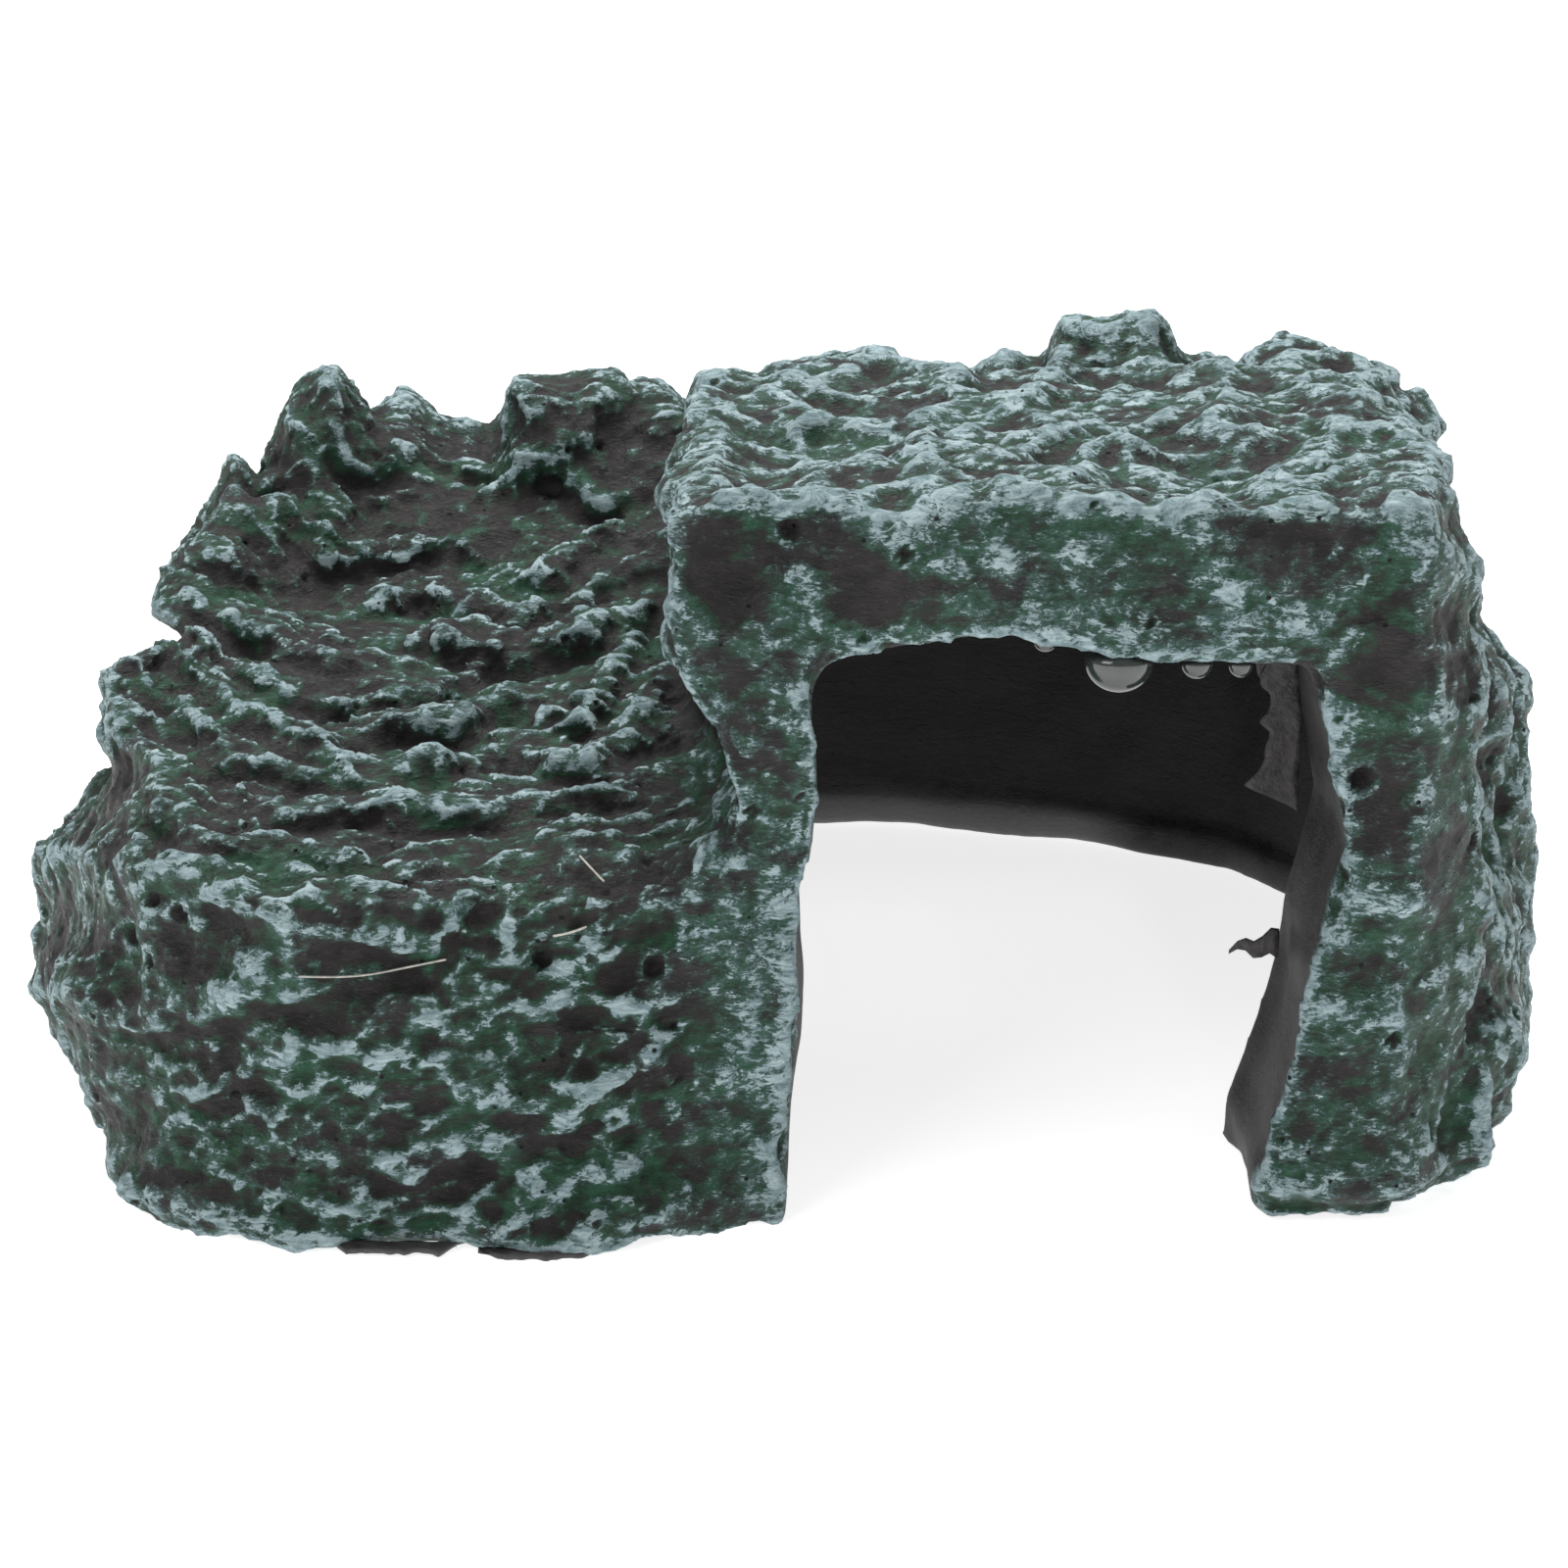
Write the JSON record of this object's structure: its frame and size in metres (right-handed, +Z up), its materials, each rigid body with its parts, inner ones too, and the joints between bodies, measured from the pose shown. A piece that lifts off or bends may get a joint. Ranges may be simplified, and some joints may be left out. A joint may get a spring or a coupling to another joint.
{
  "type": "resin cave ornament",
  "caption": "Hollow rock hide for a tank: squared entrance under a flat basking roof, with a scalloped climbing ramp beside it.",
  "frame": {"origin": "on the ground at the middle of the outline, rim at Z = 0", "axes": "+X to the right as seen from the entrance, -Y out of the entrance (front), +Z up"},
  "size_m": [0.168, 0.136, 0.079],
  "materials": {
    "painted_cast_resin": "grey stone-filled resin with a dark green wash and pale blue-grey dry brushing",
    "raw_resin_flash": "unpainted filled resin, torn edge",
    "cured_resin_bead": "cured smooth and shiny",
    "brush_bristle": "pale synthetic bristle"
  },
  "bodies": {
    "root": {"climbing_ramp": "painted_cast_resin", "front_bluff": "painted_cast_resin", "left_flank": "painted_cast_resin", "basking_roof": "painted_cast_resin", "lintel": "painted_cast_resin", "left_jamb": "painted_cast_resin", "right_jamb": "painted_cast_resin", "right_flank": "painted_cast_resin", "ramp_cliff": "painted_cast_resin", "back_wall": "painted_cast_resin", "lintel_drips": "cured_resin_bead", "jamb_flash": "raw_resin_flash", "foot_flash": "raw_resin_flash", "paint_bristles": "brush_bristle"}
  },
  "joints": []
}
